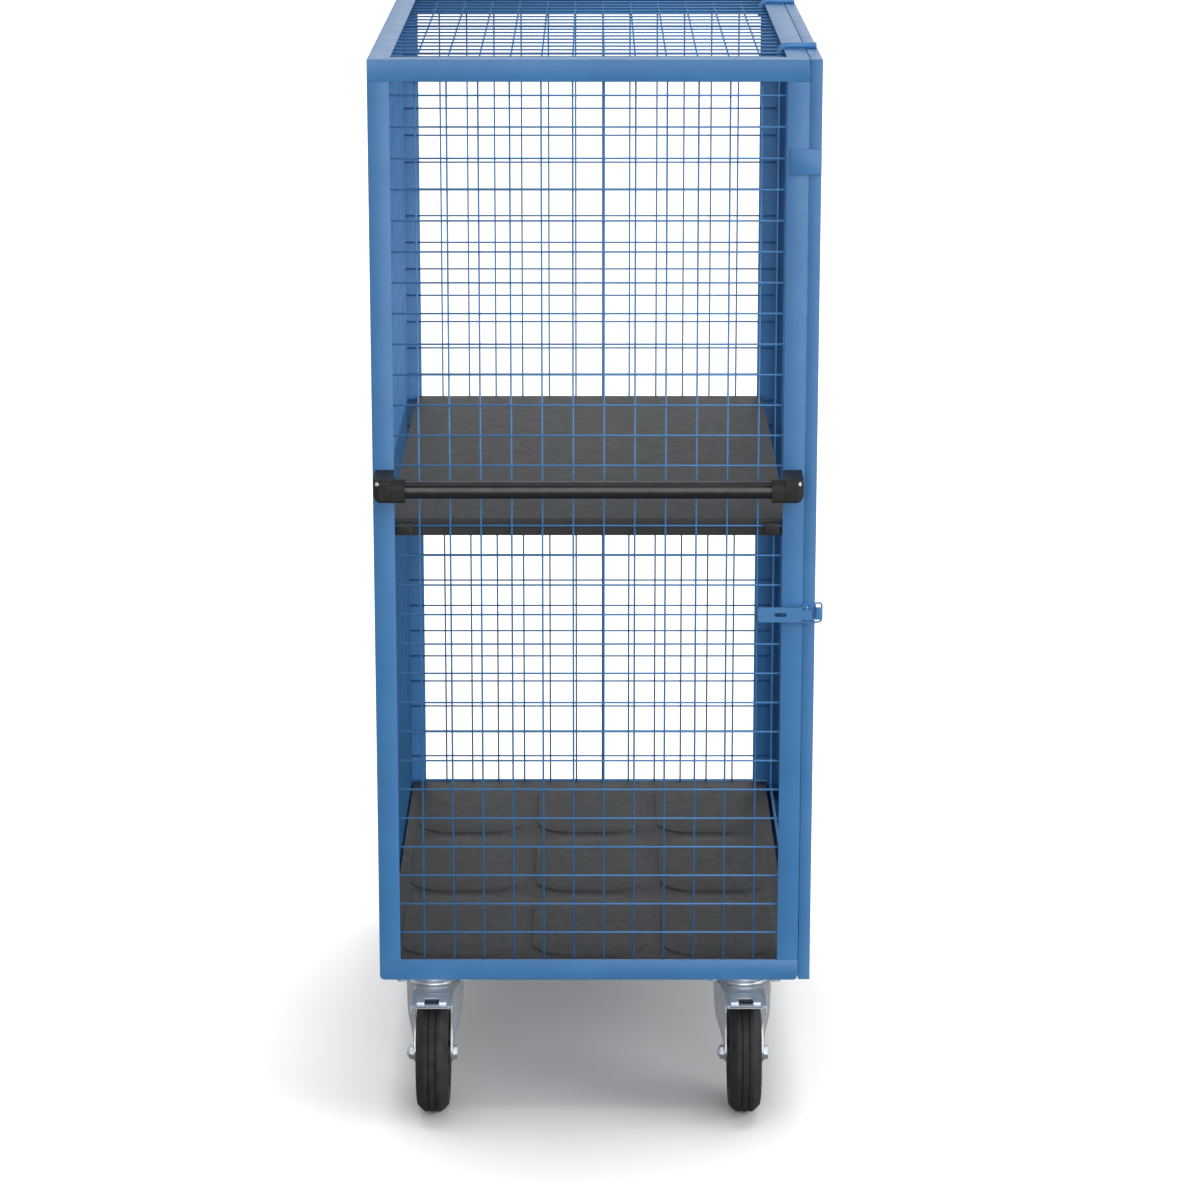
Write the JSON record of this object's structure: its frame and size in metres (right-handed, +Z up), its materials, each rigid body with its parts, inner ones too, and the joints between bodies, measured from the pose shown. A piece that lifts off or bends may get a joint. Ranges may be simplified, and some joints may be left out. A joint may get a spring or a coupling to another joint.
{
  "type": "mesh cage trolley",
  "caption": "Wire mesh cage on castors with a lift-off side gate, a hanging shelf, a push bar and braked swivel castors.",
  "frame": {"origin": "on the floor, under the middle of the whole object's footprint", "axes": "+Z up and the longest side; +X across the cage towards the lift-off gate, the shortest side; +Y from the push bar to the rear"},
  "size_m": [0.7328, 1.113, 1.7853],
  "materials": {
    "blue_paint": "satin powder coat",
    "deck_board": "fine grain",
    "shelf_paint": "satin powder coat",
    "hook_black": "satin",
    "bar_anodised": "black anodised",
    "black_plastic": "moulded grain",
    "screw_steel": "bright",
    "zinc": "zinc plated",
    "tyre_rubber": "matt",
    "rim_plastic": "moulded"
  },
  "bodies": {
    "cage": {"post_front_left": "blue_paint", "post_front_right": "blue_paint", "post_rear_left": "blue_paint", "post_rear_right": "blue_paint", "top_rail_front": "blue_paint", "top_rail_rear": "blue_paint", "top_rail_left": "blue_paint", "top_rail_right": "blue_paint", "base_rail_front": "blue_paint", "base_rail_rear": "blue_paint", "base_rail_left": "blue_paint", "base_rail_right": "blue_paint", "mesh_front": "blue_paint", "mesh_rear": "blue_paint", "mesh_left": "blue_paint", "mesh_roof": "blue_paint", "deck_board": "deck_board", "deck_bearers": "blue_paint", "push_bar": "bar_anodised", "handle_bracket_left": "black_plastic", "handle_bracket_right": "black_plastic", "handle_screws": "screw_steel", "castor_plate_front_left": "zinc", "castor_plate_front_right": "zinc", "castor_bracket_rear_left": "zinc", "castor_bracket_rear_right": "zinc", "axle_rear_left": "zinc", "axle_rear_right": "zinc", "castor_bolts": "zinc", "latch_base": "blue_paint", "latch_pin": "screw_steel"},
    "gate": {"gate_stile_front": "blue_paint", "gate_stile_rear": "blue_paint", "gate_rail_top": "blue_paint", "gate_rail_bottom": "blue_paint", "gate_mesh": "blue_paint", "gate_hook_front": "blue_paint", "gate_hook_rear": "blue_paint", "gate_guide_plates": "blue_paint", "latch_catch": "blue_paint"},
    "shelf": {"shelf_tray": "shelf_paint", "shelf_hooks": "hook_black"},
    "lever": {"latch_lever": "blue_paint"},
    "loop": {"latch_loop": "blue_paint"},
    "swivel_left": {"fork_front_left": "zinc", "axle_front_left": "zinc"},
    "pedal_left": {"brake_pedal_left": "zinc"},
    "swivel_right": {"fork_front_right": "zinc", "axle_front_right": "zinc"},
    "pedal_right": {"brake_pedal_right": "zinc"},
    "wheel_front_left": {"tyre_front_left": "tyre_rubber", "rim_front_left": "rim_plastic"},
    "wheel_front_right": {"tyre_front_right": "tyre_rubber", "rim_front_right": "rim_plastic"},
    "wheel_rear_left": {"tyre_rear_left": "tyre_rubber", "rim_rear_left": "rim_plastic"},
    "wheel_rear_right": {"tyre_rear_right": "tyre_rubber", "rim_rear_right": "rim_plastic"}
  },
  "joints": [
    {"name": "gate_lift_off", "type": "slide", "parent": "cage", "child": "gate", "axis": [0, 0, 1], "range_m": [0, 1.6]},
    {"name": "shelf_lift", "type": "slide", "parent": "cage", "child": "shelf", "axis": [0, 0, 1], "range_m": [0, 0.03]},
    {"name": "latch_lever_swing", "type": "hinge", "parent": "cage", "child": "lever", "pos_m": [0.33963, -0.4825, 0.873], "axis": [0, 0, 1], "range_deg": [0, 150]},
    {"name": "latch_loop_turn", "type": "hinge", "parent": "lever", "child": "loop", "pos_m": [0.33363, -0.4825, 0.873], "axis": [0, 0, 1], "range_deg": [-150, 0]},
    {"name": "castor_swivel_left", "type": "hinge", "parent": "cage", "child": "swivel_left", "pos_m": [-0.27837, -0.3995, 0.2], "axis": [0, 0, 1], "continuous": true},
    {"name": "front_wheel_spin_left", "type": "hinge", "parent": "swivel_left", "child": "wheel_front_left", "pos_m": [-0.27837, -0.4565, 0.1], "axis": [1, 0, 0], "continuous": true},
    {"name": "rear_wheel_spin_left", "type": "hinge", "parent": "cage", "child": "wheel_rear_left", "pos_m": [-0.27837, 0.4565, 0.1], "axis": [1, 0, 0], "continuous": true},
    {"name": "brake_pedal_left", "type": "hinge", "parent": "swivel_left", "child": "pedal_left", "pos_m": [-0.27837, -0.4465, 0.202], "axis": [1, 0, 0], "range_deg": [0, 12]},
    {"name": "castor_swivel_right", "type": "hinge", "parent": "cage", "child": "swivel_right", "pos_m": [0.24563, -0.3995, 0.2], "axis": [0, 0, 1], "continuous": true},
    {"name": "front_wheel_spin_right", "type": "hinge", "parent": "swivel_right", "child": "wheel_front_right", "pos_m": [0.24563, -0.4565, 0.1], "axis": [1, 0, 0], "continuous": true},
    {"name": "rear_wheel_spin_right", "type": "hinge", "parent": "cage", "child": "wheel_rear_right", "pos_m": [0.24563, 0.4565, 0.1], "axis": [1, 0, 0], "continuous": true},
    {"name": "brake_pedal_right", "type": "hinge", "parent": "swivel_right", "child": "pedal_right", "pos_m": [0.24563, -0.4465, 0.202], "axis": [1, 0, 0], "range_deg": [0, 12]}
  ],
  "couplings": [
    {"joint": "latch_loop_turn", "follows": "latch_lever_swing", "ratio": -1}
  ]
}
